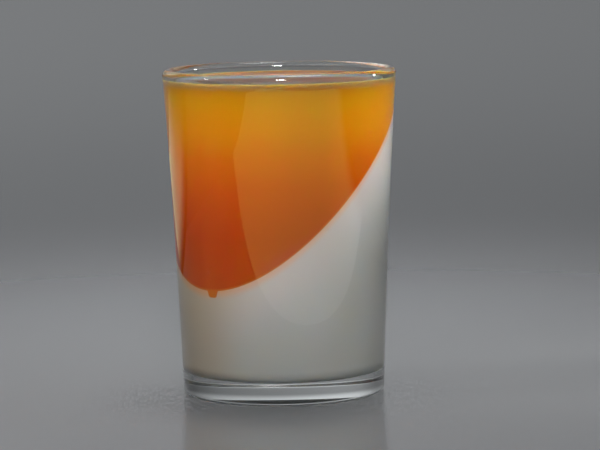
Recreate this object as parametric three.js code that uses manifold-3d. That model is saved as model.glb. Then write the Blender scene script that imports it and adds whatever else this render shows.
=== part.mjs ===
// Layered panna cotta in a straight-sided glass tumbler.
// A clear glass holds a white panna cotta that set with the glass leaning over,
// so its top is a steep slope, and an orange fruit jelly that was poured on it
// with the glass upright, so its top is level but for a meniscus at the glass.
// Millimetres. +Z is up, and the origin is the centre of the glass's foot.

import * as THREE from 'three';
import { mergeVertices } from 'three/addons/utils/BufferGeometryUtils.js';
import Module from 'manifold-3d';

// Glass: outside
const glassHeight = 90;
const rimRadius = 32.4;
const footRadius = 28.1;
const flare = 0.19;
const lipRadius = 1.7;
const heelRadius = 0.8;

// Glass: underside, a foot ring around a shallow dish
const dishRadius = 25.8;
const dishDepth = 0.5;

// Glass: inside
const wallAtFoot = 3.3;
const wallAtRim = 2 * lipRadius;
const baseThickness = 5.9;
const cornerRadius = 3;

// Filling
const jellyLevel = 86.1;
const contactGap = 0.3;

// Meniscus: the jelly's surface climbs the glass to the wetted level, and its
// rise falls off within a few millimetres, at these distances from the wall
const wettedLevel = 87.4;
const meniscusReach = 2.7;
const meniscusSteps = [0, 0.8, 1.8, 3.2, 5.5, 10];

// Slope between the two layers, a plane: height on the axis, tilt in degrees,
// and the compass heading in which it climbs, from +X to +Y
const slopeHeight = 57.3;
const slopeTilt = 45.5;
const slopeHeading = 43.2;

// Drop of jelly that hangs from the foot of the slope, against the wall, and
// tapers to a rounded tip
const dropHeading = 226;
const dropRadius = 1.95;
const dropTaper = 0.45;
const dropTipRadius = 0.9;
const dropDepth = 2.05;

const segments = 96;
const wallSteps = 8;

const wasm = await Module();
wasm.setup();

// Outer radius of the glass's wall at a height
function outerRadius(z) {
  const t = (z - heelRadius) / (glassHeight - lipRadius - heelRadius);
  const rise = (1 - flare) * t + flare * t ** 4;
  return footRadius + (rimRadius - footRadius) * rise;
}

// Inner radius of the glass's wall at a height
function innerRadius(z) {
  const wall = wallAtFoot + (wallAtRim - wallAtFoot) * z / (glassHeight - lipRadius);
  return outerRadius(z) - wall;
}

// Points of a circular arc in the profile's plane, angles in degrees
function arc(centreX, centreZ, radius, from, to, steps) {
  const points = [];
  for (let i = 0; i <= steps; i += 1) {
    const angle = THREE.MathUtils.degToRad(from + (to - from) * i / steps);
    const x = centreX + radius * Math.cos(angle);
    const z = centreZ + radius * Math.sin(angle);
    points.push(new THREE.Vector2(x, z));
  }
  return points;
}

// Points of a wall between two heights, without its end points
function wallPoints(radiusAt, fromZ, toZ) {
  const points = [];
  for (let i = 1; i < wallSteps; i += 1) {
    const z = fromZ + (toZ - fromZ) * i / wallSteps;
    points.push(new THREE.Vector2(radiusAt(z), z));
  }
  return points;
}

// Profile of the glass, from the axis under the dish to the axis on the floor
function glassProfile() {
  const dishSphere = (dishRadius ** 2 + dishDepth ** 2) / (2 * dishDepth);
  const dishAngle = THREE.MathUtils.radToDeg(Math.asin(dishRadius / dishSphere));
  const dish = arc(0, dishDepth - dishSphere, dishSphere, 90, 90 - dishAngle, 4);
  const heel = arc(footRadius - heelRadius, heelRadius, heelRadius, -90, 0, 5);
  const lipZ = glassHeight - lipRadius;
  const outerWall = wallPoints(outerRadius, heelRadius, lipZ);
  const lip = arc(rimRadius - lipRadius, lipZ, lipRadius, 0, 180, 10);
  const cornerZ = baseThickness + cornerRadius;
  const innerWall = wallPoints(innerRadius, lipZ, cornerZ);
  const cornerX = innerRadius(cornerZ) - cornerRadius;
  const corner = arc(cornerX, cornerZ, cornerRadius, 0, -90, 5);
  const floor = [new THREE.Vector2(0, baseThickness)];
  dish[0].x = 0;
  return [...dish, ...heel, ...outerWall, ...lip, ...innerWall, ...corner, ...floor];
}

// Profile of the meniscus, from the glass inwards
function meniscus(edgeRadius) {
  const rise = wettedLevel - jellyLevel;
  return meniscusSteps.map((inwards) => {
    const z = jellyLevel + rise * Math.exp(-inwards / meniscusReach);
    return new THREE.Vector2(edgeRadius - inwards, z);
  });
}

// Profile of the filling: the inside of the glass up to the jelly's surface
function fillingProfile() {
  const bottomZ = baseThickness + contactGap;
  const cornerZ = baseThickness + cornerRadius;
  const cornerX = innerRadius(cornerZ) - cornerRadius;
  const radiusAt = (z) => innerRadius(z) - contactGap;
  const corner = arc(cornerX, cornerZ, cornerRadius - contactGap, -90, 0, 5);
  const wall = wallPoints(radiusAt, cornerZ, wettedLevel);
  const surface = [...meniscus(radiusAt(wettedLevel)), new THREE.Vector2(0, jellyLevel)];
  return [new THREE.Vector2(0, bottomZ), ...corner, ...wall, ...surface];
}

// A profile turned about Z into a closed body
function turned(profile, steps) {
  const geometry = new THREE.LatheGeometry(profile, steps);
  geometry.rotateX(Math.PI / 2);
  return geometry;
}

// A geometry as a solid for joining and cutting
function toSolid(geometry) {
  const bare = geometry.clone();
  bare.deleteAttribute('normal');
  bare.deleteAttribute('uv');
  const merged = mergeVertices(bare, 1e-4);
  const corners = merged.index.array;
  const kept = [];
  for (let i = 0; i < corners.length; i += 3) {
    const [a, b, c] = [corners[i], corners[i + 1], corners[i + 2]];
    if (a !== b && b !== c && c !== a) {
      kept.push(a, b, c);
    }
  }
  const triVerts = new Uint32Array(kept);
  const vertProperties = new Float32Array(merged.attributes.position.array);
  return new wasm.Manifold(new wasm.Mesh({ numProp: 3, vertProperties, triVerts }));
}

// A solid as a geometry
function toGeometry(solid) {
  const mesh = solid.getMesh();
  const geometry = new THREE.BufferGeometry();
  const positions = new Float32Array(mesh.vertProperties);
  geometry.setAttribute('position', new THREE.BufferAttribute(positions, 3));
  geometry.setIndex([...mesh.triVerts]);
  geometry.computeVertexNormals();
  return geometry;
}

// Everything below the slope, lowered by a distance
function belowSlope(lowered) {
  const reach = 6 * rimRadius;
  const geometry = new THREE.BoxGeometry(reach, reach / 2, reach / 2);
  geometry.translate(0, 0, -reach / 4);
  geometry.rotateY(THREE.MathUtils.degToRad(-slopeTilt));
  geometry.rotateZ(THREE.MathUtils.degToRad(slopeHeading));
  geometry.translate(0, 0, slopeHeight - lowered);
  return toSolid(geometry);
}

// The drop, made larger all round by a gap. Its axis stands on the wall at the
// foot of the slope, and its stem runs up into the jelly.
function drop(gap) {
  const tipX = dropRadius - dropTaper - dropTipRadius;
  const tip = arc(tipX, dropTipRadius - dropDepth, dropTipRadius + gap, -90, 0, 4);
  const stem = dropRadius + gap;
  const stemTop = 2 * dropRadius;
  const profile = [
    new THREE.Vector2(0, -dropDepth - gap),
    ...tip,
    new THREE.Vector2(stem, 0),
    new THREE.Vector2(stem, stemTop),
    new THREE.Vector2(0, stemTop),
  ];
  const heading = THREE.MathUtils.degToRad(dropHeading);
  const turn = THREE.MathUtils.degToRad(dropHeading - slopeHeading);
  const rise = Math.tan(THREE.MathUtils.degToRad(slopeTilt));
  const r = innerRadius(slopeHeight - rise * footRadius);
  const geometry = turned(profile, 24);
  geometry.translate(
    r * Math.cos(heading),
    r * Math.sin(heading),
    slopeHeight + rise * r * Math.cos(turn),
  );
  return toSolid(geometry);
}

const glass = new THREE.Mesh(
  turned(glassProfile(), segments),
  new THREE.MeshStandardMaterial({
    color: 0xdfe8e6,
    roughness: 0.05,
    metalness: 0,
    transparent: true,
    opacity: 0.35,
  }),
);
glass.name = 'glass';

const filling = toSolid(turned(fillingProfile(), segments));
const slopeGap = contactGap / Math.cos(THREE.MathUtils.degToRad(slopeTilt));

const pannaCotta = new THREE.Mesh(
  toGeometry(filling.intersect(belowSlope(slopeGap)).subtract(drop(contactGap))),
  new THREE.MeshStandardMaterial({ color: 0xf3eee2, roughness: 0.45, metalness: 0 }),
);
pannaCotta.name = 'panna_cotta';

const jelly = new THREE.Mesh(
  toGeometry(filling.subtract(belowSlope(0)).add(filling.intersect(drop(0)))),
  new THREE.MeshStandardMaterial({ color: 0xe88a12, roughness: 0.15, metalness: 0 }),
);
jelly.name = 'orange_jelly';

const dessert = new THREE.Group();
dessert.name = 'layered_panna_cotta';
dessert.add(glass, pannaCotta, jelly);

export default dessert;
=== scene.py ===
import math

import bpy
from mathutils import Matrix, Vector


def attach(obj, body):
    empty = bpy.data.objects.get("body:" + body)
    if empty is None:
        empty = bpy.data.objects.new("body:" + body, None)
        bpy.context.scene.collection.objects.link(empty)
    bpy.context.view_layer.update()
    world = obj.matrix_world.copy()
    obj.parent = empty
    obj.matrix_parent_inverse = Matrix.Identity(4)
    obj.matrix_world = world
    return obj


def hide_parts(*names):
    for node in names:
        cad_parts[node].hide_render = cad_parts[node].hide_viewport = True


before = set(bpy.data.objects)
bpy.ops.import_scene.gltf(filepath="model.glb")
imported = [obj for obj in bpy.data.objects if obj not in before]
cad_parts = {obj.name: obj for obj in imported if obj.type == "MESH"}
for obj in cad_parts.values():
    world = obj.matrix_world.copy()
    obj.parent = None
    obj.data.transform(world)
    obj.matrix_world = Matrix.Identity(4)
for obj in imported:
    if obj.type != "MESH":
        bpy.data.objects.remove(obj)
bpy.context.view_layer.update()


# ---------------------------------------------------------------------------
# Tumbler. Pressed soda-lime glass with a solid base: the wall flares a little
# from the foot to the rim, the rim is fire-polished round, and the underside
# is dished so that the glass stands on a ring.
# ---------------------------------------------------------------------------

MM = 0.001

GLASS_HEIGHT = 90 * MM
RIM_RADIUS = 32.4 * MM
FOOT_RADIUS = 28.1 * MM
FLARE = 0.19
LIP_RADIUS = 1.7 * MM
HEEL_RADIUS = 0.8 * MM
DISH_RADIUS = 25.8 * MM
DISH_DEPTH = 0.5 * MM
WALL_AT_FOOT = 3.3 * MM
WALL_AT_RIM = 2 * LIP_RADIUS
BASE_THICKNESS = 5.9 * MM
CORNER_RADIUS = 3 * MM
LIP_Z = GLASS_HEIGHT - LIP_RADIUS
CORNER_Z = BASE_THICKNESS + CORNER_RADIUS

# How finely the profile is drawn: steps of each arc and wall, where the floor
# has its rings, as parts of its radius, and steps round the axis.
DISH_STEPS = 24
HEEL_STEPS = 16
WALL_STEPS = 30
LIP_STEPS = 24
CORNER_STEPS = 12
FLOOR_RINGS = (0.6, 0.2, 0)
SPIN_STEPS = 240


def outer_radius(z):
    """Outer radius of the glass's wall at a height."""
    t = (z - HEEL_RADIUS) / (LIP_Z - HEEL_RADIUS)
    rise = (1 - FLARE) * t + FLARE * t**4
    return FOOT_RADIUS + (RIM_RADIUS - FOOT_RADIUS) * rise


def inner_radius(z):
    """Inner radius of the glass's wall at a height."""
    return outer_radius(z) - (WALL_AT_FOOT + (WALL_AT_RIM - WALL_AT_FOOT) * z / LIP_Z)


def arc(x, z, radius, start, end, steps):
    """Points of an arc in the profile's plane, angles in degrees."""
    angles = [math.radians(start + (end - start) * i / steps) for i in range(steps + 1)]
    return [(x + radius * math.cos(a), z + radius * math.sin(a)) for a in angles]


def wall(radius_at, start, end, steps):
    """Points of a wall between two heights, without its ends."""
    heights = [start + (end - start) * i / steps for i in range(1, steps)]
    return [(radius_at(z), z) for z in heights]


def turned(name, profile, steps):
    """A closed body: the profile drawn point by point from the axis, then spun about Z."""
    bpy.ops.object.select_all(action="DESELECT")
    bpy.ops.mesh.primitive_plane_add(size=MM, location=(profile[0][0], 0, profile[0][1]))
    piece = bpy.context.object
    piece.name = piece.data.name = name
    bpy.ops.object.mode_set(mode="EDIT")
    bpy.ops.mesh.merge(type="CENTER")
    for (x0, z0), (x1, z1) in zip(profile, profile[1:]):
        bpy.ops.mesh.extrude_region_move(TRANSFORM_OT_translate={"value": (x1 - x0, 0, z1 - z0)})
    bpy.ops.mesh.select_all(action="SELECT")
    bpy.ops.mesh.spin(steps=steps, angle=math.tau, center=(0, 0, 0), axis=(0, 0, 1))
    bpy.ops.mesh.select_all(action="SELECT")
    bpy.ops.mesh.remove_doubles(threshold=0.002 * MM)
    bpy.ops.mesh.normals_make_consistent(inside=False)
    bpy.ops.object.mode_set(mode="OBJECT")
    bpy.ops.object.transform_apply(location=True, rotation=True, scale=True)
    bpy.ops.object.shade_smooth()
    return piece


def linear(hex_colour):
    """An sRGB hex colour as linear RGBA."""
    channels = [int(hex_colour[i : i + 2], 16) / 255 for i in (1, 3, 5)]
    return [c / 12.92 if c <= 0.04045 else ((c + 0.055) / 1.055) ** 2.4 for c in channels] + [1]


def material(name):
    """An empty node material."""
    made = bpy.data.materials.new(name)
    made.use_nodes = True
    made.node_tree.nodes.clear()
    return made


def add(made, kind, settings=None, values=None, links=None):
    """Adds a node: settings are its attributes, values its sockets, links its incoming links."""
    node = made.node_tree.nodes.new(kind)
    for key, value in (settings or {}).items():
        setattr(node, key, value)
    for key, value in (values or {}).items():
        node.inputs[key].default_value = value
    for key, source in (links or {}).items():
        made.node_tree.links.new(source, node.inputs[key])
    return node


def glass_profile():
    """From the axis under the dish, round the outside and the lip, to the axis on the floor."""
    sphere = (DISH_RADIUS**2 + DISH_DEPTH**2) / (2 * DISH_DEPTH)
    reach = math.degrees(math.asin(DISH_RADIUS / sphere))
    dish = arc(0, DISH_DEPTH - sphere, sphere, 90, 90 - reach, DISH_STEPS)
    heel = arc(FOOT_RADIUS - HEEL_RADIUS, HEEL_RADIUS, HEEL_RADIUS, -90, 0, HEEL_STEPS)
    outside = wall(outer_radius, HEEL_RADIUS, LIP_Z, WALL_STEPS)
    lip = arc(RIM_RADIUS - LIP_RADIUS, LIP_Z, LIP_RADIUS, 0, 180, LIP_STEPS)
    inside = wall(inner_radius, LIP_Z, CORNER_Z, WALL_STEPS)
    corner_x = inner_radius(CORNER_Z) - CORNER_RADIUS
    corner = arc(corner_x, CORNER_Z, CORNER_RADIUS, 0, -90, CORNER_STEPS)
    floor = [(corner_x * part, BASE_THICKNESS) for part in FLOOR_RINGS]
    return [(0, DISH_DEPTH)] + dish[1:] + heel + outside + lip + inside + corner + floor


tumbler = turned("tumbler", glass_profile(), SPIN_STEPS)

# Soda-lime glass, pressed and fire-polished: clear, bright at its edges, with
# the faint waviness that a mould leaves. Lamps shine through it to the filling.
CLEAR_TINT = "#FBFDFC"
WAVE_LENGTH = 14 * MM
WAVE_HEIGHT = 0.05 * MM

soda_lime = material("soda-lime glass")
place = add(soda_lime, "ShaderNodeTexCoord")
waviness = add(soda_lime, "ShaderNodeTexNoise",
               values={"Scale": 1 / WAVE_LENGTH, "Detail": 1},
               links={"Vector": place.outputs["Object"]})
ripple = add(soda_lime, "ShaderNodeBump",
             values={"Strength": 0.05, "Distance": WAVE_HEIGHT},
             links={"Height": waviness.outputs["Fac"]})
clear = add(soda_lime, "ShaderNodeBsdfPrincipled",
            values={"Base Color": linear(CLEAR_TINT), "Roughness": 0.01, "IOR": 1.52,
                    "Transmission Weight": 1},
            links={"Normal": ripple.outputs["Normal"]})
passing = add(soda_lime, "ShaderNodeBsdfTransparent", values={"Color": linear(CLEAR_TINT)})
path = add(soda_lime, "ShaderNodeLightPath")
unseen = add(soda_lime, "ShaderNodeMath", settings={"operation": "MAXIMUM"},
             links={0: path.outputs["Is Shadow Ray"], 1: path.outputs["Is Diffuse Ray"]})
either = add(soda_lime, "ShaderNodeMixShader",
             links={0: unseen.outputs[0], 1: clear.outputs[0], 2: passing.outputs[0]})
add(soda_lime, "ShaderNodeOutputMaterial", links={"Surface": either.outputs[0]})
tumbler.data.materials.append(soda_lime)

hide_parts("glass")
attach(tumbler, "root")


# ---------------------------------------------------------------------------
# Panna cotta. Cooked cream set with gelatine while the glass leaned over, so
# its top is a steep plane. It clings to the glass, and orange from the jelly
# has crept into it along the slope, with painted glow of the jelly's light.
# ---------------------------------------------------------------------------

SLOPE_HEIGHT = 57.3 * MM
SLOPE_TILT = math.radians(45.5)
SLOPE_HEADING = math.radians(43.2)
JELLY_LEVEL = 86.1 * MM
WETTED_LEVEL = 87.4 * MM
MENISCUS_REACH = 2.7 * MM
MENISCUS_STEPS = (0, 0.3, 0.6, 1, 1.5, 2.1, 2.8, 3.6, 4.6, 6, 8, 11, 16)
SIDE_STEPS = 60

# The filling reaches this far into the wall, so that no air gap shows.
CLING = 0.15 * MM

# Drop of jelly at the foot of the slope, which presses into the panna cotta.
DROP_HEADING = math.radians(226)
DROP_RADIUS = 1.95 * MM
DROP_TAPER = 0.45 * MM
DROP_TIP_RADIUS = 0.9 * MM
DROP_DEPTH = 2.05 * MM
DROP_TIP_STEPS = 8
DROP_SPIN_STEPS = 32


def filling_profile():
    """The inside of the glass up to the jelly's surface, reaching just into the wall."""
    def radius_at(z):
        return inner_radius(z) + CLING

    corner_x = inner_radius(CORNER_Z) - CORNER_RADIUS
    floor = [(corner_x * part, BASE_THICKNESS - CLING) for part in reversed(FLOOR_RINGS)]
    corner = arc(corner_x, CORNER_Z, CORNER_RADIUS + CLING, -90, 0, CORNER_STEPS)
    side = wall(radius_at, CORNER_Z, WETTED_LEVEL, SIDE_STEPS)
    edge = radius_at(WETTED_LEVEL)
    rise = WETTED_LEVEL - JELLY_LEVEL
    surface = [(edge, WETTED_LEVEL)]
    for step in MENISCUS_STEPS:
        inwards = MM * step
        z = JELLY_LEVEL + rise * math.exp(-inwards / MENISCUS_REACH)
        surface.append((edge - CLING - inwards, z))
    return floor + corner + side + surface + [(0, JELLY_LEVEL)]


def under_slope(name):
    """A large block with the slope as its top."""
    reach = 6 * RIM_RADIUS
    bpy.ops.object.select_all(action="DESELECT")
    bpy.ops.mesh.primitive_cube_add(size=reach, location=(0, 0, -reach / 2))
    block = bpy.context.object
    block.name = block.data.name = name
    bpy.ops.object.transform_apply(location=True, rotation=True, scale=True)
    block.rotation_euler = (0, -SLOPE_TILT, SLOPE_HEADING)
    block.location = (0, 0, SLOPE_HEIGHT)
    bpy.ops.object.transform_apply(location=True, rotation=True, scale=True)
    return block


def copied(source, name):
    """A copy with its own mesh."""
    twin = source.copy()
    twin.data = source.data.copy()
    twin.name = twin.data.name = name
    bpy.context.scene.collection.objects.link(twin)
    return twin


def combined(piece, other, operation):
    """Joins, cuts or trims a piece with another by a Boolean modifier."""
    bpy.ops.object.select_all(action="DESELECT")
    bpy.context.view_layer.objects.active = piece
    piece.select_set(True)
    step = piece.modifiers.new(operation.lower(), "BOOLEAN")
    step.operation = operation
    step.object = other
    step.solver = "EXACT"
    bpy.ops.object.modifier_apply(modifier=step.name)


def drop_profile():
    """From the tip up the stem, which ends inside the jelly; the slope is at height 0."""
    tip_x = DROP_RADIUS - DROP_TAPER - DROP_TIP_RADIUS
    tip = arc(tip_x, DROP_TIP_RADIUS - DROP_DEPTH, DROP_TIP_RADIUS, -90, 0, DROP_TIP_STEPS)
    stem_top = 2 * DROP_RADIUS
    stem = [(DROP_RADIUS, 0), (DROP_RADIUS, stem_top), (0, stem_top)]
    return [(0, -DROP_DEPTH)] + tip + stem


drop = turned("drop", drop_profile(), DROP_SPIN_STEPS)
slope_rise = math.tan(SLOPE_TILT)
drop_reach = inner_radius(SLOPE_HEIGHT - slope_rise * FOOT_RADIUS)
drop.location = (drop_reach * math.cos(DROP_HEADING), drop_reach * math.sin(DROP_HEADING),
                 SLOPE_HEIGHT + slope_rise * drop_reach * math.cos(DROP_HEADING - SLOPE_HEADING))
bpy.ops.object.transform_apply(location=True, rotation=True, scale=True)

filling = turned("filling", filling_profile(), SPIN_STEPS)
slope_block = under_slope("slope block")
SMOOTH_ANGLE = math.radians(30)

cream = copied(filling, "cooked_cream")
combined(cream, slope_block, "INTERSECT")
combined(cream, drop, "DIFFERENCE")
bpy.ops.object.shade_smooth_by_angle(angle=SMOOTH_ANGLE)

# Cooked cream: dense, milky and a little see-through at its skin, so light
# sinks in and comes back warm. Orange fades into it within a few millimetres
# of the slope: stain where the jelly crept in, and painted glow of the jelly's
# light. It is painted warmer near the slope, as glow from the jelly, and a
# painted warm shade lies on the side where the slope is lowest. Depths are in
# millimetres.
CREAM = "#BEBDB8"
# Painted glow: warmer cream near the slope, standing for orange light from the jelly.
JELLY_GLOW_CREAM = "#C9C1BC"
JELLY_GLOW_DEPTH = 16
# Painted warm shade on the side where the slope is lowest.
WARM_SHADE_CREAM = "#B8A68F"
WARM_SHADE_HEADING = math.radians(205)
WARM_SHADE_START = 0.6 * FOOT_RADIUS
# Orange stain where the jelly crept in, which also stands for painted glow of the jelly's light.
ORANGE_STAIN_AND_GLOW = "#E6954E"
STAIN_AND_GLOW_DEPTH = 2.4
STAIN_AND_GLOW_SHARE = 0.5
DENSE_DEPTH = 8

panna = material("cooked cream set with gelatine")
place = add(panna, "ShaderNodeTexCoord")


def clearance(made, point):
    """Distance of a point from the slope, in millimetres, negative under it."""
    normal = (-math.sin(SLOPE_TILT) * math.cos(SLOPE_HEADING),
              -math.sin(SLOPE_TILT) * math.sin(SLOPE_HEADING), math.cos(SLOPE_TILT))
    across = add(made, "ShaderNodeVectorMath", settings={"operation": "DOT_PRODUCT"},
                 values={1: normal}, links={0: point})
    shifted = add(made, "ShaderNodeMath", settings={"operation": "MULTIPLY_ADD"},
                  values={1: 1 / MM, 2: -SLOPE_HEIGHT * normal[2] / MM},
                  links={0: across.outputs["Value"]})
    return shifted.outputs[0]


depth = clearance(panna, place.outputs["Object"])
# Stain and painted glow, within a few millimetres under the slope.
stain_and_glow = add(panna, "ShaderNodeMapRange", settings={"interpolation_type": "SMOOTHERSTEP"},
            values={"From Min": -STAIN_AND_GLOW_DEPTH, "From Max": 0.2, "To Min": 0, "To Max": STAIN_AND_GLOW_SHARE},
            links={"Value": depth})
# Painted glow of the jelly's light, by depth under the slope.
jelly_glow = add(panna, "ShaderNodeMapRange", settings={"interpolation_type": "SMOOTHERSTEP"},
             values={"From Min": -JELLY_GLOW_DEPTH, "From Max": 0},
             links={"Value": depth})
glow_warmed = add(panna, "ShaderNodeMix", settings={"data_type": "RGBA"},
             values={6: linear(CREAM), 7: linear(JELLY_GLOW_CREAM)},
             links={0: jelly_glow.outputs["Result"]})
# The painted warm shade fades in toward that side.
warm_shade_side = add(panna, "ShaderNodeVectorMath", settings={"operation": "DOT_PRODUCT"},
               values={1: (math.cos(WARM_SHADE_HEADING), math.sin(WARM_SHADE_HEADING), 0)},
               links={0: place.outputs["Object"]})
tan = add(panna, "ShaderNodeMapRange", settings={"interpolation_type": "SMOOTHSTEP"},
          values={"From Min": WARM_SHADE_START, "From Max": FOOT_RADIUS},
          links={"Value": warm_shade_side.outputs["Value"]})
warm_shaded = add(panna, "ShaderNodeMix", settings={"data_type": "RGBA"},
             values={7: linear(WARM_SHADE_CREAM)},
             links={0: tan.outputs["Result"], 6: glow_warmed.outputs[2]})
tone = add(panna, "ShaderNodeMix", settings={"data_type": "RGBA"},
           values={7: linear(ORANGE_STAIN_AND_GLOW)},
           links={0: stain_and_glow.outputs["Result"], 6: warm_shaded.outputs[2]})
see_through = add(panna, "ShaderNodeMapRange",
                  values={"From Min": -DENSE_DEPTH, "From Max": 0, "To Min": 0.6, "To Max": 0.1},
                  links={"Value": depth})
cream_skin = add(panna, "ShaderNodeBsdfPrincipled",
                 values={"Roughness": 0.4, "IOR": 1.38, "Specular IOR Level": 0.1,
                         "Subsurface Weight": 0.6,
                         "Subsurface Radius": (4 * MM, 3 * MM, 2 * MM)},
                 links={"Base Color": tone.outputs[2], "Subsurface Scale": see_through.outputs[0]})
add(panna, "ShaderNodeOutputMaterial", links={"Surface": cream_skin.outputs[0]})
cream.data.materials.append(panna)

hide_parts("panna_cotta")
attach(cream, "root")


# ---------------------------------------------------------------------------
# Orange jelly. Fruit pulp and juice set with gelatine, poured on the slope
# with the glass upright: a level top with a low meniscus at the wall, and one
# small drop where it ran in at the foot of the slope.
# ---------------------------------------------------------------------------

jelly = copied(filling, "fruit_jelly")
combined(jelly, slope_block, "DIFFERENCE")
inside_drop = copied(drop, "inside drop")
combined(inside_drop, filling, "INTERSECT")
combined(jelly, inside_drop, "UNION")
bpy.ops.object.shade_smooth_by_angle(angle=SMOOTH_ANGLE)
for spare in (filling, slope_block, drop, inside_drop):
    bpy.data.objects.remove(spare)

# Fruit jelly: cloudy with pulp. Its colour holds painted light: yellow where
# light comes in at the top, filtered to deep orange on its way down. Its
# surface is wet and glossy.
gel = material("fruit jelly set with gelatine")
place = add(gel, "ShaderNodeTexCoord")
axes = add(gel, "ShaderNodeSeparateXYZ", links={0: place.outputs["Object"]})
lift = clearance(gel, place.outputs["Object"])


def set_stops(ramp, shades):
    """Gives a colour ramp its stops, from positions and sRGB hex colours."""
    stops = ramp.color_ramp.elements
    for stop, (position, colour) in zip(stops, (shades[0], shades[-1])):
        stop.position = position
        stop.color = linear(colour)
    for position, colour in shades[1:-1]:
        stops.new(position).color = linear(colour)


# Painted light and shade at the glass, by height: deep orange and darker at
# the foot of the slope, yellow and brighter under the surface, and painted
# grey shade at the wetted edge.
SHADES_FROM = 28 * MM
SHADES_TO = 88 * MM
WALL_PAINTED_LIGHT = (
    (0, "#C45000"),
    (0.28, "#B74200"),
    (0.42, "#BC4A00"),
    (0.52, "#C35400"),
    (0.65, "#CB6900"),
    (0.78, "#D08200"),
    (0.86, "#CC8700"),
    (0.9, "#C58800"),
    (0.933, "#BB8200"),
    (0.957, "#AA780E"),
    (0.973, "#8A7040"),
    (0.99, "#665F50"),
)
height = add(gel, "ShaderNodeMapRange",
             values={"From Min": SHADES_FROM, "From Max": SHADES_TO},
             links={"Value": axes.outputs["Z"]})
shade = add(gel, "ShaderNodeValToRGB", links={0: height.outputs["Result"]})
set_stops(shade, WALL_PAINTED_LIGHT)

# Ochre fringe right over the slope and in the drop, where the layers mingle.
FRINGE = "#D28C2C"
FRINGE_HEIGHT = 0.7
FRINGE_SHARE = 0.45
fringe = add(gel, "ShaderNodeMapRange", settings={"interpolation_type": "SMOOTHERSTEP"},
             values={"From Min": -0.1, "From Max": FRINGE_HEIGHT,
                     "To Min": FRINGE_SHARE, "To Max": 0},
             links={"Value": lift})
tone = add(gel, "ShaderNodeMix", settings={"data_type": "RGBA"},
           values={7: linear(FRINGE)},
           links={0: fringe.outputs["Result"], 6: shade.outputs["Color"]})

# Painted light and shade on the level top, by its distance from the slope in
# millimetres: pale where the slope shines through, and dark where the jelly is
# deepest.
DEEPEST = 40
TOP_PAINTED_LIGHT = (
    (0, "#DCB252"),
    (0.08, "#BC7E26"),
    (0.2, "#A8681A"),
    (0.5, "#824408"),
    (0.8, "#623002"),
)
below = add(gel, "ShaderNodeMapRange", values={"From Max": DEEPEST}, links={"Value": lift})
painted_top = add(gel, "ShaderNodeValToRGB", links={0: below.outputs["Result"]})
set_stops(painted_top, TOP_PAINTED_LIGHT)

# The thin film of the meniscus: brown, with a painted grey reflection in front.
BROWN_FILM = "#86561E"
GREY_REFLECTION = "#8C9498"
REFLECTION_BLEND = 8 * MM
climbing = add(gel, "ShaderNodeMapRange",
               values={"From Min": JELLY_LEVEL + 0.2 * MM, "From Max": JELLY_LEVEL + 0.6 * MM},
               links={"Value": axes.outputs["Z"]})
# Painted reflection: the film turns grey toward the front.
front_reflection = add(gel, "ShaderNodeMapRange",
           values={"From Min": REFLECTION_BLEND, "From Max": -REFLECTION_BLEND},
           links={"Value": axes.outputs["Y"]})
film_and_reflection = add(gel, "ShaderNodeMix", settings={"data_type": "RGBA"},
           values={6: linear(BROWN_FILM), 7: linear(GREY_REFLECTION)},
           links={0: front_reflection.outputs["Result"]})
top_film_and_reflection = add(gel, "ShaderNodeMix", settings={"data_type": "RGBA"},
             links={0: climbing.outputs["Result"], 6: painted_top.outputs["Color"], 7: film_and_reflection.outputs[2]})

# Where the free surface is: at the level or over it, and off the wall.
SURFACE_BAND = 0.1 * MM
level_place = add(gel, "ShaderNodeCombineXYZ",
                  links={0: axes.outputs["X"], 1: axes.outputs["Y"]})
from_axis = add(gel, "ShaderNodeVectorMath", settings={"operation": "LENGTH"},
                links={0: level_place.outputs[0]})
off_wall = add(gel, "ShaderNodeMath", settings={"operation": "LESS_THAN"},
               values={1: inner_radius(JELLY_LEVEL) - SURFACE_BAND},
               links={0: from_axis.outputs["Value"]})
at_top = add(gel, "ShaderNodeMapRange",
             values={"From Min": JELLY_LEVEL - 2 * SURFACE_BAND,
                     "From Max": JELLY_LEVEL - SURFACE_BAND},
             links={"Value": axes.outputs["Z"]})
surface = add(gel, "ShaderNodeMath", settings={"operation": "MULTIPLY"},
              links={0: at_top.outputs["Result"], 1: off_wall.outputs[0]})

# Light goes deepest well over the slope, and only skin-deep beside the cream.
CLOUDY_HEIGHT = 12
see_through = add(gel, "ShaderNodeMapRange",
                  values={"From Min": 0, "From Max": CLOUDY_HEIGHT, "To Min": 0.05, "To Max": 1},
                  links={"Value": lift})
skin = add(gel, "ShaderNodeMix", settings={"data_type": "RGBA"},
           links={0: surface.outputs[0], 6: tone.outputs[2], 7: top_film_and_reflection.outputs[2]})
body = add(gel, "ShaderNodeBsdfPrincipled",
           values={"Roughness": 0.3, "IOR": 1.37, "Specular IOR Level": 0.1,
                   "Coat Roughness": 0.02, "Coat IOR": 1.37,
                   "Subsurface Weight": 0.9, "Subsurface Radius": (9 * MM, 5 * MM, 1 * MM)},
           links={"Base Color": skin.outputs[2], "Coat Weight": surface.outputs[0],
                  "Subsurface Scale": see_through.outputs[0]})
add(gel, "ShaderNodeOutputMaterial", links={"Surface": body.outputs[0]})
jelly.data.materials.append(gel)

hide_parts("orange_jelly")
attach(jelly, "root")


# ---------------------------------------------------------------------------
# Studio. A pale satin table top under banded grey air, a soft light overhead,
# narrow beams from the front and both sides, a small spot on the ceiling, and
# two glowing cards that show only in first reflections.
# ---------------------------------------------------------------------------

# Satin laminate: pale and faintly mirroring, with painted light falloff: darker away from the
# glass.
TABLE_SIZE = 6
TABLE_NEAR = "#9C9D9F"
TABLE_FAR = "#66676A"
NEAR_REACH = 0.1
FAR_REACH = 0.45
UNDER_FOOT = -0.05 * MM

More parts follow.
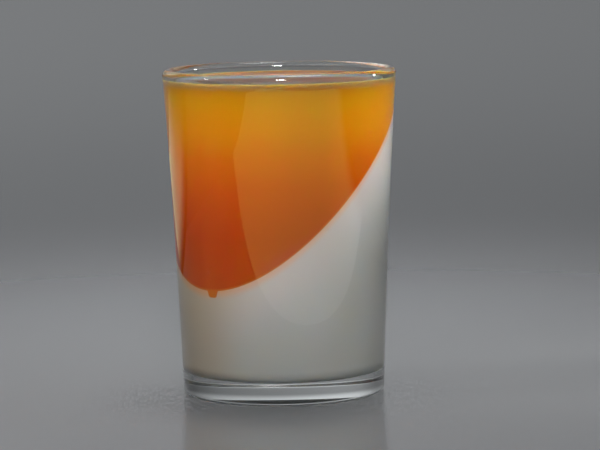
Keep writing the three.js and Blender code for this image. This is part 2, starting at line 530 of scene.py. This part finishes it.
bpy.ops.object.select_all(action="DESELECT")
bpy.ops.mesh.primitive_plane_add(size=TABLE_SIZE, location=(0, 0, UNDER_FOOT))
table = bpy.context.object
table.name = "table_top"
laminate = material("pale satin laminate")
place = add(laminate, "ShaderNodeTexCoord")
away = add(laminate, "ShaderNodeVectorMath", settings={"operation": "LENGTH"},
           links={0: place.outputs["Object"]})
# Painted light falloff from the glass outward.
light_falloff = add(laminate, "ShaderNodeMapRange", settings={"interpolation_type": "SMOOTHSTEP"},
               values={"From Min": NEAR_REACH, "From Max": FAR_REACH},
               links={"Value": away.outputs["Value"]})
grey = add(laminate, "ShaderNodeMix", settings={"data_type": "RGBA"},
           values={6: linear(TABLE_NEAR), 7: linear(TABLE_FAR)},
           links={0: light_falloff.outputs["Result"]})
top = add(laminate, "ShaderNodeBsdfPrincipled", values={"Roughness": 0.15},
          links={"Base Color": grey.outputs[2]})
add(laminate, "ShaderNodeOutputMaterial", links={"Surface": top.outputs[0]})
table.data.materials.append(laminate)


def softbox(name, size, power, place, target, spread=180):
    """A rectangular area light that faces its target, with a grid that narrows its beam."""
    lamp = bpy.data.lights.new(name, "AREA")
    lamp.shape = "RECTANGLE"
    lamp.size, lamp.size_y = size
    lamp.energy = power
    lamp.spread = math.radians(spread)
    holder = bpy.data.objects.new(name, lamp)
    holder.location = place
    holder.rotation_euler = (Vector(target) - Vector(place)).to_track_quat("-Z", "Y").to_euler()
    holder.visible_camera = False
    bpy.context.scene.collection.objects.link(holder)


MIDDLE = (0, 0, 0.05)
softbox("front key", size=(0.3, 0.16), power=0.164, place=(0.03, -0.9, 0.55),
        target=(0, 0, 0.1), spread=12)
softbox("overhead", size=(0.3, 0.3), power=0.06, place=(0.1, 0.15, 0.8),
        target=MIDDLE, spread=30)
softbox("right side", size=(0.12, 0.09), power=0.046, place=(0.556, 0.225, 0.3),
        target=(0, 0, 0.098), spread=5)
softbox("left side", size=(0.12, 0.07), power=0.012, place=(-0.6, -0.1, 0.3),
        target=(0, 0, 0.07), spread=5)
softbox("ceiling spot", size=(0.03, 0.03), power=0.4, place=(0.02, -0.2, 0.95),
        target=MIDDLE)

CARD_HEIGHT = 1 * MM


def card(name, width, depth, place, heading, made):
    """A card that lies just over the table, turned by its heading."""
    bpy.ops.object.select_all(action="DESELECT")
    bpy.ops.mesh.primitive_plane_add(size=1)
    piece = bpy.context.object
    piece.name = name
    piece.scale = (width, depth, 1)
    piece.rotation_euler = (0, 0, heading)
    piece.location = (place[0], place[1], CARD_HEIGHT)
    bpy.ops.object.transform_apply(location=True, rotation=True, scale=True)
    piece.data.materials.append(made)
    piece.visible_diffuse = False
    piece.visible_shadow = False


# A ray is on its first bounce while its depth is under this.
FIRST_BOUNCE = 1.5


def mirrored_once(made, glow):
    """Ends a card's material: its glow shows from above, and only in first reflections."""
    path = add(made, "ShaderNodeLightPath")
    side = add(made, "ShaderNodeNewGeometry")
    first = add(made, "ShaderNodeMath", settings={"operation": "LESS_THAN"},
                values={1: FIRST_BOUNCE}, links={0: path.outputs["Ray Depth"]})
    mirrored = add(made, "ShaderNodeMath", settings={"operation": "MULTIPLY"},
                   links={0: path.outputs["Is Glossy Ray"], 1: first.outputs[0]})
    upward = add(made, "ShaderNodeMath", settings={"operation": "SUBTRACT"},
                 links={0: mirrored.outputs[0], 1: side.outputs["Backfacing"]})
    nothing = add(made, "ShaderNodeBsdfTransparent")
    mixed = add(made, "ShaderNodeMixShader",
                links={0: upward.outputs[0], 1: nothing.outputs[0], 2: glow.outputs[0]})
    add(made, "ShaderNodeOutputMaterial", links={"Surface": mixed.outputs[0]})


# Glowing straw-coloured card in front of the glass. It is white in a half oval,
# which the glass shows over the panna cotta, and its right edge is soft.
STRAW = "#EDFF95"
WHITE = "#EEEEEE"
FRONT_HEADING = math.radians(24)
OVAL_PLACE = (0.13, -0.07, 0)
OVAL_SIZE = (0.24, 0.135, 1)
FRONT_GLOW = 1.09

straw = material("straw-coloured card")
place = add(straw, "ShaderNodeTexCoord")
oval = add(straw, "ShaderNodeMapping", settings={"vector_type": "TEXTURE"},
           values={"Location": OVAL_PLACE, "Rotation": (0, 0, FRONT_HEADING),
                   "Scale": OVAL_SIZE},
           links={"Vector": place.outputs["Object"]})
off_centre = add(straw, "ShaderNodeVectorMath", settings={"operation": "LENGTH"},
                 links={0: oval.outputs[0]})
outside = add(straw, "ShaderNodeMapRange", settings={"interpolation_type": "SMOOTHSTEP"},
              values={"From Min": 0.76, "From Max": 1.04},
              links={"Value": off_centre.outputs["Value"]})
tinted = add(straw, "ShaderNodeMix", settings={"data_type": "RGBA"},
             values={6: linear(WHITE), 7: linear(STRAW)},
             links={0: outside.outputs["Result"]})
along = add(straw, "ShaderNodeSeparateXYZ", links={0: oval.outputs[0]})
fade = add(straw, "ShaderNodeMapRange", settings={"interpolation_type": "SMOOTHSTEP"},
           values={"From Min": 0.88, "From Max": 0.6, "To Min": 0, "To Max": FRONT_GLOW},
           links={"Value": along.outputs["X"]})
glow = add(straw, "ShaderNodeEmission",
           links={"Color": tinted.outputs[2], "Strength": fade.outputs["Result"]})
mirrored_once(straw, glow)
card("front card", width=0.652, depth=0.333, place=(0.0937, -0.2686),
     heading=FRONT_HEADING, made=straw)

# Glowing cream-coloured card behind the glass at its left. It fades toward its
# near edge and with the distance.
PALE_CREAM = "#FCFFD4"
LEFT_GLOW = 0.7
LEFT_GLOW_FAR = 0.1

pale = material("cream-coloured card")
place = add(pale, "ShaderNodeTexCoord")
along = add(pale, "ShaderNodeSeparateXYZ", links={0: place.outputs["Object"]})
fade = add(pale, "ShaderNodeMapRange", settings={"interpolation_type": "SMOOTHSTEP"},
           values={"From Min": 0.14, "From Max": 0.26},
           links={"Value": along.outputs["Y"]})
light_falloff = add(pale, "ShaderNodeMapRange", settings={"interpolation_type": "SMOOTHSTEP"},
               values={"From Min": -0.54, "From Max": -0.3,
                       "To Min": LEFT_GLOW_FAR, "To Max": LEFT_GLOW},
               links={"Value": along.outputs["X"]})
faded = add(pale, "ShaderNodeMath", settings={"operation": "MULTIPLY"},
            links={0: fade.outputs["Result"], 1: light_falloff.outputs["Result"]})
glow = add(pale, "ShaderNodeEmission", values={"Color": linear(PALE_CREAM)},
           links={"Strength": faded.outputs[0]})
mirrored_once(pale, glow)
card("left card", width=0.45, depth=0.46, place=(-0.375, 0.37), heading=0, made=pale)

# Air of the studio, by direction: brightest behind the glass, dimmer at the
# sides and dimmest in front, brighter to the left than to the right, and in
# soft bands by height, whose stops are the Z of the direction.
AIR_TINT = "#E4E7EA"
AIR_SHADES = (
    (0, "#404040"),
    (0.04, "#A4A4A4"),
    (0.08, "#A4A4A4"),
    (0.12, "#8C8C8C"),
    (0.18, "#8C8C8C"),
    (0.24, "#D4D4D4"),
    (0.4, "#D4D4D4"),
    (0.5, "#8C8C8C"),
    (0.75, "#FFFFFF"),
)

world = bpy.data.worlds.new("studio air")
world.use_nodes = True
world.node_tree.nodes.clear()
direction = add(world, "ShaderNodeTexCoord")
parts = add(world, "ShaderNodeSeparateXYZ", links={0: direction.outputs["Generated"]})
behind = add(world, "ShaderNodeMapRange", settings={"interpolation_type": "SMOOTHSTEP"},
             values={"From Min": 0.5, "From Max": 0.95, "To Min": 0.42, "To Max": 1},
             links={"Value": parts.outputs["Y"]})
in_front = add(world, "ShaderNodeMapRange", settings={"interpolation_type": "SMOOTHSTEP"},
               values={"From Min": -0.95, "From Max": -0.35, "To Min": 0.22, "To Max": 1},
               links={"Value": parts.outputs["Y"]})
leftward = add(world, "ShaderNodeMapRange",
               values={"From Min": -0.6, "From Max": 0.6, "To Min": 1.35, "To Max": 0.65},
               links={"Value": parts.outputs["X"]})
sky = add(world, "ShaderNodeValToRGB", links={0: parts.outputs["Z"]})
sky.color_ramp.interpolation = "EASE"
set_stops(sky, AIR_SHADES)
around = add(world, "ShaderNodeMath", settings={"operation": "MULTIPLY"},
             links={0: behind.outputs["Result"], 1: in_front.outputs["Result"]})
aside = add(world, "ShaderNodeMath", settings={"operation": "MULTIPLY"},
            links={0: around.outputs[0], 1: leftward.outputs["Result"]})
strength = add(world, "ShaderNodeMath", settings={"operation": "MULTIPLY"},
               links={0: aside.outputs[0], 1: sky.outputs["Color"]})
air = add(world, "ShaderNodeBackground", values={"Color": linear(AIR_TINT)},
          links={"Strength": strength.outputs[0]})
add(world, "ShaderNodeOutputWorld", links={"Surface": air.outputs[0]})
bpy.context.scene.world = world
bpy.context.scene.view_settings.view_transform = "Standard"


# ---------------------------------------------------------------------------
# Camera. A long lens from three quarters of a metre away, a little above the
# rim and looking down at the glass, leaning by less than a degree.
# ---------------------------------------------------------------------------

CAMERA_DISTANCE = 0.7648
CAMERA_HEIGHT = 0.13796
CAMERA_PAN = math.radians(0.386)
CAMERA_TILT = math.radians(6.853)
CAMERA_ROLL = math.radians(-0.883)
CAMERA_LENS = 165.8
SENSOR_WIDTH = 36

ahead = Vector((math.sin(CAMERA_PAN) * math.cos(CAMERA_TILT),
                math.cos(CAMERA_PAN) * math.cos(CAMERA_TILT),
                -math.sin(CAMERA_TILT)))
level_right = Vector((math.cos(CAMERA_PAN), -math.sin(CAMERA_PAN), 0))
level_up = level_right.cross(ahead)
right = level_right * math.cos(CAMERA_ROLL) + level_up * math.sin(CAMERA_ROLL)
up = level_up * math.cos(CAMERA_ROLL) - level_right * math.sin(CAMERA_ROLL)
camera = bpy.data.objects.new("camera", bpy.data.cameras.new("camera"))
camera.data.lens = CAMERA_LENS
camera.data.sensor_width = SENSOR_WIDTH
camera.data.clip_start = 0.01
camera.matrix_world = Matrix.Translation((0, -CAMERA_DISTANCE, CAMERA_HEIGHT)) @ Matrix(
    (right, up, -ahead)).transposed().to_4x4()
bpy.context.scene.collection.objects.link(camera)
bpy.context.scene.camera = camera
